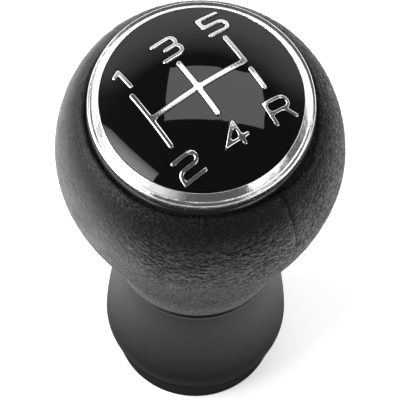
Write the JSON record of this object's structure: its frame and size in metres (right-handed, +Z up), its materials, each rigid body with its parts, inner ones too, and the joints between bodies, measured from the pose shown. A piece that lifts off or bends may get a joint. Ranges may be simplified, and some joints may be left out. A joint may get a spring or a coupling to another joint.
{
  "type": "gear shift knob",
  "caption": "Leather covered ball shaped gear shift knob with a gloss black domed cap, chrome bezel, chrome shift pattern and a satin black collar.",
  "frame": {"origin": "centre of the foot ring's flat underside, on the lever's axis", "axes": "+Z up along the lever's axis towards the dome, +X to the shift pattern's right, +Y to the pattern's top row, the front of the car"},
  "size_m": [0.05, 0.05, 0.1],
  "materials": {
    "dome_black": "high gloss black",
    "chrome_inlay": "bright chrome on plastic",
    "chrome_bezel": "bright chrome on plastic",
    "tape": "foam tape",
    "carrier_black": "gloss black",
    "screw_steel": "zinc plated",
    "foam": "moulded foam",
    "frame_nylon": "matte",
    "leather": "grained charcoal leather",
    "sleeve_nylon": "natural nylon",
    "band_steel": "spring steel",
    "collar_black": "satin black"
  },
  "bodies": {
    "root": {"cap_dome": "dome_black", "gate_lines": "chrome_inlay", "reverse_bar": "chrome_inlay", "numeral_1": "chrome_inlay", "numeral_2": "chrome_inlay", "numeral_3": "chrome_inlay", "numeral_4": "chrome_inlay", "numeral_5": "chrome_inlay", "letter_r": "chrome_inlay", "trim_ring": "chrome_bezel", "cap_tape": "tape", "cap_carrier": "carrier_black", "carrier_screw_1": "screw_steel", "carrier_screw_2": "screw_steel", "carrier_screw_3": "screw_steel", "core_foam": "foam", "core_frame": "frame_nylon", "cover_panel_left": "leather", "cover_panel_right": "leather", "lever_sleeve": "sleeve_nylon", "grip_band": "band_steel", "neck_collar": "collar_black", "foot_ring": "collar_black"}
  },
  "joints": []
}
